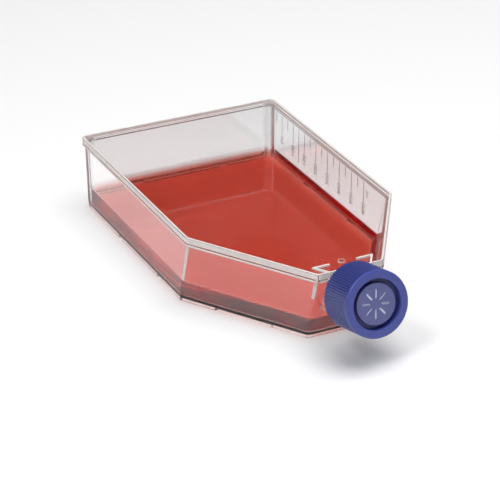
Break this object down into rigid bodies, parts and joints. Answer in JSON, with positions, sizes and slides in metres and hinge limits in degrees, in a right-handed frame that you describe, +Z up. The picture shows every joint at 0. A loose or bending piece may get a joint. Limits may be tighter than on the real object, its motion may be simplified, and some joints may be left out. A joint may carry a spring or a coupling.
{
  "type": "cell culture flask",
  "caption": "Flat clear-walled culture flask with shoulders, canted threaded neck, vented screw cap, welded top plate and a shallow layer of red medium.",
  "frame": {"origin": "centre of the plan box, on the surface that the foot ridge stands on", "axes": "+Y from the neck towards the square back end, +Z up, +X to the right seen from the neck"},
  "size_m": [0.114, 0.2288, 0.0493],
  "materials": {
    "clear_tray": "clear moulded polystyrene",
    "clear_plate": "clear moulded polystyrene",
    "blue_cap": "satin moulded polyethylene",
    "membrane": "white porous film",
    "medium": "clear red liquid"
  },
  "bodies": {
    "flask": {"flask_body": "clear_tray", "top_plate": "clear_plate", "culture_medium": "medium"},
    "vent": {"vent_membrane": "membrane"},
    "cap": {"cap": "blue_cap"}
  },
  "joints": [
    {"name": "cap_lift", "type": "slide", "parent": "flask", "child": "vent", "axis": [0, -0.9724, 0.2334], "range_m": [0, 0.0201]},
    {"name": "cap_turn", "type": "hinge", "parent": "vent", "child": "cap", "pos_m": [0, -0.10647, 0.0324], "axis": [0, -0.9724, 0.2334], "range_deg": [0, 1800]}
  ],
  "couplings": [
    {"joint": "cap_lift", "follows": "cap_turn", "m_per_rad": 0.00063662}
  ]
}
